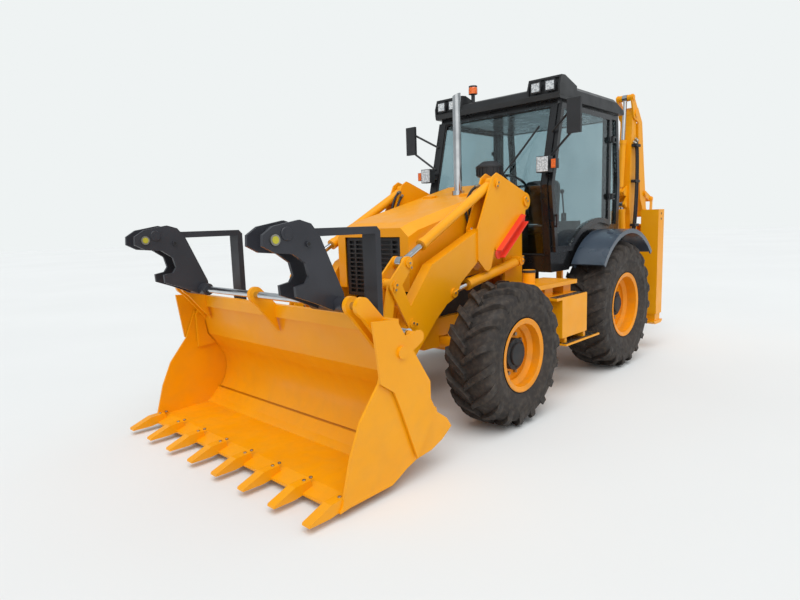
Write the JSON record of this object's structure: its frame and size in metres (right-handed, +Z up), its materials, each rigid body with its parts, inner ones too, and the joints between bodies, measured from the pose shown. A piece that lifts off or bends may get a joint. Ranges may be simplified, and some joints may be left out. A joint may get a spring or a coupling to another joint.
{
  "type": "backhoe loader",
  "caption": "Wheeled backhoe loader with a two-jaw front bucket, folding pallet forks, enclosed cab, side-shift backhoe and vertical stabilisers.",
  "frame": {"origin": "ground level under the middle of the machine's length and width", "axes": "+X forward towards the loader bucket, +Y to the machine's left, +Z up"},
  "size_m": [6.372, 2.392, 3.0719],
  "materials": {
    "machine_paint": "satin",
    "fork_paint": "satin",
    "black_paint": "gloss",
    "strut_paint": "satin",
    "roof_plastic": "matte",
    "radiator_paint": "matte",
    "engine_iron": "matte",
    "chromed_steel": "polished",
    "window_glass": "clear",
    "tyre_rubber": "matte",
    "seat_fabric": "matte"
  },
  "bodies": {
    "machine": {"chassis_frame": "machine_paint", "engine_block": "engine_iron", "axles": "machine_paint", "radiator_grille": "radiator_paint", "rear_cowl": "machine_paint", "exhaust_and_precleaner": "chromed_steel", "cab_frame": "black_paint", "cab_roof": "roof_plastic", "cab_glass": "window_glass", "cab_controls": "roof_plastic", "seat_cushions": "seat_fabric", "fenders": "black_paint", "side_steps": "black_paint", "lamps_and_mirrors": "roof_plastic"},
    "bonnet": {"bonnet": "machine_paint"},
    "knuckle_left": {"knuckle_left": "machine_paint"},
    "front_wheel_left": {"front_rim_left": "machine_paint", "front_tyre_left": "tyre_rubber"},
    "rear_wheel_left": {"rear_rim_left": "machine_paint", "rear_tyre_left": "tyre_rubber"},
    "door_left": {"door_left": "black_paint", "door_glass_left": "window_glass"},
    "stabiliser_left": {"stabiliser_left": "machine_paint"},
    "fork_carrier_left": {"fork_carrier_left": "fork_paint"},
    "fork_tine_left": {"fork_tine_left": "fork_paint"},
    "knuckle_right": {"knuckle_right": "machine_paint"},
    "front_wheel_right": {"front_rim_right": "machine_paint", "front_tyre_right": "tyre_rubber"},
    "rear_wheel_right": {"rear_rim_right": "machine_paint", "rear_tyre_right": "tyre_rubber"},
    "door_right": {"door_right": "black_paint", "door_glass_right": "window_glass"},
    "stabiliser_right": {"stabiliser_right": "machine_paint"},
    "fork_carrier_right": {"fork_carrier_right": "fork_paint"},
    "fork_tine_right": {"fork_tine_right": "fork_paint"},
    "loader_arm": {"tilt_ram_barrels": "machine_paint", "loader_arm": "machine_paint", "safety_strut": "strut_paint"},
    "lift_barrels": {"lift_ram_barrels": "machine_paint"},
    "lift_rods": {"lift_ram_rods": "chromed_steel"},
    "tilt_levers": {"tilt_levers": "machine_paint"},
    "bucket_links": {"bucket_links": "machine_paint"},
    "tilt_rods": {"tilt_ram_rods": "chromed_steel"},
    "bucket": {"bucket_body": "machine_paint"},
    "clam": {"bucket_clam": "machine_paint"},
    "clam_barrels": {"clam_ram_barrels": "machine_paint"},
    "clam_rods": {"clam_ram_rods": "chromed_steel"},
    "carriage": {"shift_carriage": "machine_paint"},
    "kingpost": {"kingpost": "machine_paint"},
    "boom": {"boom": "machine_paint"},
    "dipper": {"dipper": "machine_paint"},
    "hoe_bucket": {"hoe_bucket": "machine_paint"},
    "hoe_idler": {"hoe_idler": "machine_paint"},
    "hoe_link": {"hoe_link": "machine_paint"},
    "boom_barrel": {"boom_ram_barrel": "machine_paint"},
    "boom_rod": {"boom_ram_rod": "chromed_steel"},
    "dipper_barrel": {"dipper_ram_barrel": "machine_paint"},
    "dipper_rod": {"dipper_ram_rod": "chromed_steel"},
    "hoe_barrel": {"hoe_ram_barrel": "machine_paint"},
    "hoe_rod": {"hoe_ram_rod": "chromed_steel"}
  },
  "joints": [
    {"name": "steer_left", "type": "hinge", "parent": "machine", "child": "knuckle_left", "pos_m": [1.114, 0.8, 0.56], "axis": [0, 0, 1], "range_deg": [-25, 25]},
    {"name": "front_wheel_spin_left", "type": "hinge", "parent": "knuckle_left", "child": "front_wheel_left", "pos_m": [1.114, 0.985, 0.56], "axis": [0, 1, 0], "continuous": true},
    {"name": "rear_wheel_spin_left", "type": "hinge", "parent": "machine", "child": "rear_wheel_left", "pos_m": [-1.086, 0.845, 0.665], "axis": [0, 1, 0], "continuous": true},
    {"name": "door_swing_left", "type": "hinge", "parent": "machine", "child": "door_left", "pos_m": [-1.336, 0.762, 1.78], "axis": [0, 0, 1], "range_deg": [0, 85]},
    {"name": "stabiliser_drop_left", "type": "slide", "parent": "machine", "child": "stabiliser_left", "axis": [0, 0, -1], "range_m": [0, 0.45]},
    {"name": "fork_swing_left", "type": "hinge", "parent": "bucket", "child": "fork_carrier_left", "pos_m": [2.694, 0.8, 1.13], "axis": [0, 1, 0], "range_deg": [0, 84]},
    {"name": "fork_unfold_left", "type": "hinge", "parent": "fork_carrier_left", "child": "fork_tine_left", "pos_m": [3.034, 0.8, 1.55], "axis": [0, 1, 0], "range_deg": [0, 180]},
    {"name": "steer_right", "type": "hinge", "parent": "machine", "child": "knuckle_right", "pos_m": [1.114, -0.8, 0.56], "axis": [0, 0, 1], "range_deg": [-25.5, 25.5]},
    {"name": "front_wheel_spin_right", "type": "hinge", "parent": "knuckle_right", "child": "front_wheel_right", "pos_m": [1.114, -0.985, 0.56], "axis": [0, 1, 0], "continuous": true},
    {"name": "rear_wheel_spin_right", "type": "hinge", "parent": "machine", "child": "rear_wheel_right", "pos_m": [-1.086, -0.845, 0.665], "axis": [0, 1, 0], "continuous": true},
    {"name": "door_swing_right", "type": "hinge", "parent": "machine", "child": "door_right", "pos_m": [-1.336, -0.762, 1.78], "axis": [0, 0, -1], "range_deg": [0, 85]},
    {"name": "stabiliser_drop_right", "type": "slide", "parent": "machine", "child": "stabiliser_right", "axis": [0, 0, -1], "range_m": [0, 0.45]},
    {"name": "fork_swing_right", "type": "hinge", "parent": "bucket", "child": "fork_carrier_right", "pos_m": [2.694, -0.8, 1.13], "axis": [0, 1, 0], "range_deg": [0, 84]},
    {"name": "fork_unfold_right", "type": "hinge", "parent": "fork_carrier_right", "child": "fork_tine_right", "pos_m": [3.034, -0.8, 1.55], "axis": [0, 1, 0], "range_deg": [0, 180]},
    {"name": "bonnet_tilt", "type": "hinge", "parent": "machine", "child": "bonnet", "pos_m": [0.557, 0, 1.828], "axis": [0, 1, 0], "range_deg": [-55, 0]},
    {"name": "arm_lift", "type": "hinge", "parent": "machine", "child": "loader_arm", "pos_m": [0.154, 0, 1.75], "axis": [0, -1, 0], "range_deg": [-2, 78]},
    {"name": "lift_barrel_swing", "type": "hinge", "parent": "machine", "child": "lift_barrels", "pos_m": [0.184, 0, 1.2], "axis": [0, -1, 0], "range_deg": [-2.4, 70.8]},
    {"name": "lift_rod_slide", "type": "slide", "parent": "lift_barrels", "child": "lift_rods", "axis": [0.9845, 0, -0.1751], "range_m": [-0.01867, 0.65215]},
    {"name": "bucket_tip", "type": "hinge", "parent": "loader_arm", "child": "bucket", "pos_m": [1.954, 0, 0.4], "axis": [0, 1, 0], "range_deg": [-40, 120]},
    {"name": "tilt_lever_swing", "type": "hinge", "parent": "loader_arm", "child": "tilt_levers", "pos_m": [1.754, 0, 0.85], "axis": [0, 1, 0], "range_deg": [-24, 70.8]},
    {"name": "bucket_link_swing", "type": "hinge", "parent": "tilt_levers", "child": "bucket_links", "pos_m": [1.919, 0, 1.15], "axis": [0, 1, 0], "range_deg": [-55.52, 18.91]},
    {"name": "tilt_rod_slide", "type": "slide", "parent": "loader_arm", "child": "tilt_rods", "axis": [0.8857, 0, -0.4642], "range_m": [-0.15573, 0.46319]},
    {"name": "clam_open", "type": "hinge", "parent": "bucket", "child": "clam", "pos_m": [2.494, 0, 0.846], "axis": [0, 1, 0], "range_deg": [-50, 0]},
    {"name": "clam_barrel_swing", "type": "hinge", "parent": "bucket", "child": "clam_barrels", "pos_m": [2.114, 0, 0.366], "axis": [0, -1, 0], "range_deg": [-8.63, 0.6]},
    {"name": "clam_rod_slide", "type": "slide", "parent": "clam_barrels", "child": "clam_rods", "axis": [0.3402, 0, 0.9404], "range_m": [-0.14821, 0.002]},
    {"name": "carriage_shift", "type": "slide", "parent": "machine", "child": "carriage", "axis": [0, 1, 0], "range_m": [-0.92, 0.08]},
    {"name": "kingpost_slew", "type": "hinge", "parent": "carriage", "child": "kingpost", "pos_m": [-2.486, 0.42, 0.8], "axis": [0, 0, 1], "range_deg": [-90, 90]},
    {"name": "boom_lower", "type": "hinge", "parent": "kingpost", "child": "boom", "pos_m": [-2.666, 0.42, 0.86], "axis": [0, -1, 0], "range_deg": [0, 95]},
    {"name": "boom_barrel_swing", "type": "hinge", "parent": "kingpost", "child": "boom_barrel", "pos_m": [-2.486, 0.42, 1.115], "axis": [0, -1, 0], "range_deg": [-0.6, 102.2]},
    {"name": "boom_rod_slide", "type": "slide", "parent": "boom_barrel", "child": "boom_rod", "axis": [0.1131, 0, 0.9936], "range_m": [-0.002, 0.43562]},
    {"name": "dipper_swing", "type": "hinge", "parent": "boom", "child": "dipper", "pos_m": [-2.586, 0.42, 2.85], "axis": [0, 1, 0], "range_deg": [0, 115]},
    {"name": "dipper_barrel_swing", "type": "hinge", "parent": "boom", "child": "dipper_barrel", "pos_m": [-2.371, 0.42, 1.88], "axis": [0, -1, 0], "range_deg": [-3.67, 0.6]},
    {"name": "dipper_rod_slide", "type": "slide", "parent": "dipper_barrel", "child": "dipper_rod", "axis": [-0.0952, 0, 0.9955], "range_m": [-0.35092, 0.002]},
    {"name": "hoe_bucket_curl", "type": "hinge", "parent": "dipper", "child": "hoe_bucket", "pos_m": [-2.946, 0.42, 1.62], "axis": [0, 1, 0], "range_deg": [0, 95]},
    {"name": "hoe_idler_swing", "type": "hinge", "parent": "dipper", "child": "hoe_idler", "pos_m": [-2.916, 0.42, 1.87], "axis": [0, 1, 0], "range_deg": [-0.6, 82.55]},
    {"name": "hoe_link_swing", "type": "hinge", "parent": "hoe_idler", "child": "hoe_link", "pos_m": [-3.106, 0.42, 1.8], "axis": [0, 1, 0], "range_deg": [-76.94, 0.6]},
    {"name": "hoe_barrel_swing", "type": "hinge", "parent": "dipper", "child": "hoe_barrel", "pos_m": [-2.901, 0.42, 2.45], "axis": [0, 1, 0], "range_deg": [-0.6, 2.96]},
    {"name": "hoe_rod_slide", "type": "slide", "parent": "hoe_barrel", "child": "hoe_rod", "axis": [-0.3008, 0, -0.9537], "range_m": [-0.26776, 0.002]}
  ],
  "couplings": [
    {"joint": "steer_right", "follows": "steer_left", "ratio": 1},
    {"joint": "lift_barrel_swing", "follows": "arm_lift", "ratio": 0.9},
    {"joint": "lift_rod_slide", "follows": "arm_lift", "m_per_rad": 0.47758},
    {"joint": "tilt_lever_swing", "follows": "bucket_tip", "ratio": 0.58503},
    {"joint": "bucket_link_swing", "follows": "bucket_tip", "ratio": -0.45766},
    {"joint": "tilt_rod_slide", "follows": "bucket_tip", "m_per_rad": 0.2202},
    {"joint": "clam_barrel_swing", "follows": "clam_open", "ratio": 0.16054},
    {"joint": "clam_rod_slide", "follows": "clam_open", "m_per_rad": 0.16754},
    {"joint": "boom_barrel_swing", "follows": "boom_lower", "ratio": 1.0695},
    {"joint": "boom_rod_slide", "follows": "boom_lower", "m_per_rad": 0.26153},
    {"joint": "dipper_barrel_swing", "follows": "dipper_swing", "ratio": -0.026672},
    {"joint": "dipper_rod_slide", "follows": "dipper_swing", "m_per_rad": -0.17384},
    {"joint": "hoe_idler_swing", "follows": "hoe_bucket_curl", "ratio": 0.86264},
    {"joint": "hoe_link_swing", "follows": "hoe_bucket_curl", "ratio": -0.80362},
    {"joint": "hoe_barrel_swing", "follows": "hoe_bucket_curl", "ratio": 0.024819},
    {"joint": "hoe_rod_slide", "follows": "hoe_bucket_curl", "m_per_rad": -0.16029}
  ]
}
